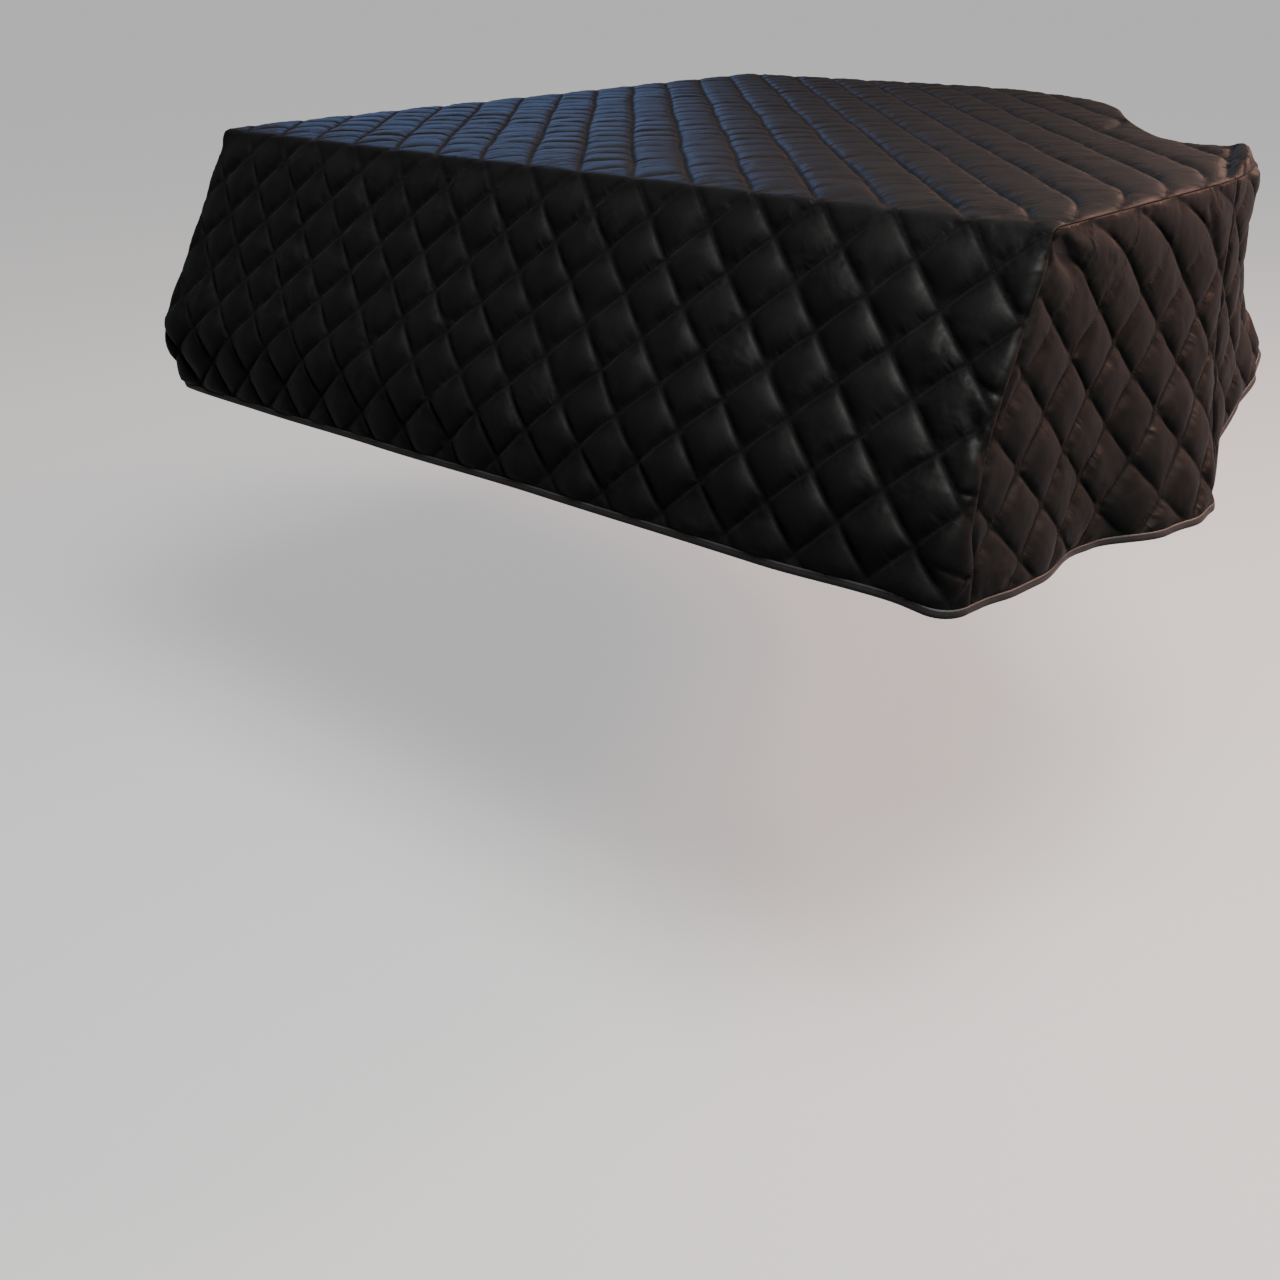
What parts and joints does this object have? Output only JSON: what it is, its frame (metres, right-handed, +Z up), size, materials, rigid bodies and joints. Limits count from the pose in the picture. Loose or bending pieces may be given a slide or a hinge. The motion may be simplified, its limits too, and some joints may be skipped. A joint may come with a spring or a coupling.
{
  "type": "quilted fitted cover for a baby grand piano",
  "caption": "Black diamond-quilted fabric cover that fits over a closed baby grand piano, with a flat top, a sloping front and hanging side panels bound at the hem.",
  "frame": {"origin": "middle of the closed lid that the top of the cover lies on, on the underside of the cloth", "axes": "+X to the treble side, +Y to the tail, +Z up"},
  "size_m": [1.586, 1.5084, 0.4088],
  "materials": {
    "quilted_cloth": "soft satin sheen",
    "binding_tape": "matte"
  },
  "bodies": {
    "root": {"body_panel": "quilted_cloth", "treble_side_panel": "quilted_cloth", "bentside_panel": "quilted_cloth", "spine_side_panel": "quilted_cloth", "hem_binding": "binding_tape"}
  },
  "joints": []
}
